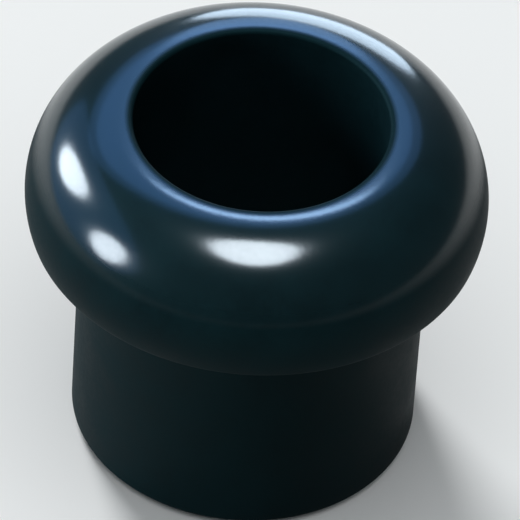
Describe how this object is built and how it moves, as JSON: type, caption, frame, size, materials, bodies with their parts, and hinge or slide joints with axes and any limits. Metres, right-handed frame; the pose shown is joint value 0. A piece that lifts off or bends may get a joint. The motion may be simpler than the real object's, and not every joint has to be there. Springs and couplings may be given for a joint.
{
  "type": "cable grommet",
  "caption": "Push-in cable grommet moulded in one piece: a glossy bulb-shaped head with a straight cable bore, on a plain sleeve that plugs into the cut end of a conduit.",
  "frame": {"origin": "centre of the sleeve's tip face, on the axis, on the surface that the grommet stands on", "axes": "+Z along the axis from the sleeve's tip to the head; X and Y are free, because the grommet is round"},
  "size_m": [0.0224, 0.0224, 0.0195],
  "materials": {
    "black_plastic": "glossy moulded black plastic with a faint cool cast"
  },
  "bodies": {
    "root": {"grommet": "black_plastic"}
  },
  "joints": []
}
